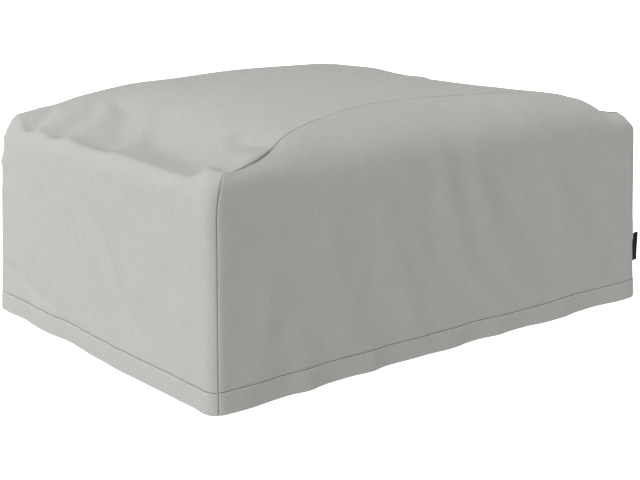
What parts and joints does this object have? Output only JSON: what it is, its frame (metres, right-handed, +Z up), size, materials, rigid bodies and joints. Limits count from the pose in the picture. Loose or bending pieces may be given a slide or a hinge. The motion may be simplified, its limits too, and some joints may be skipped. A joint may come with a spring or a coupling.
{
  "type": "ottoman cover",
  "caption": "Fitted cloth slipcover for a rectangular ottoman: soft crowned top, straight walls, seamed corners, a stitched hem and a bare side tag.",
  "frame": {"origin": "on the floor under the middle of the cover", "axes": "+X along the long sides towards the end with the tag, +Y from the front long side to the back one, +Z up"},
  "size_m": [0.9794, 0.707, 0.4212],
  "materials": {
    "cover_cloth": "light grey plain-weave linen, matt",
    "tag_ribbon": "black woven ribbon, matt"
  },
  "bodies": {
    "root": {"main_strip": "cover_cloth", "front_panel": "cover_cloth", "back_panel": "cover_cloth", "label": "tag_ribbon"}
  },
  "joints": []
}
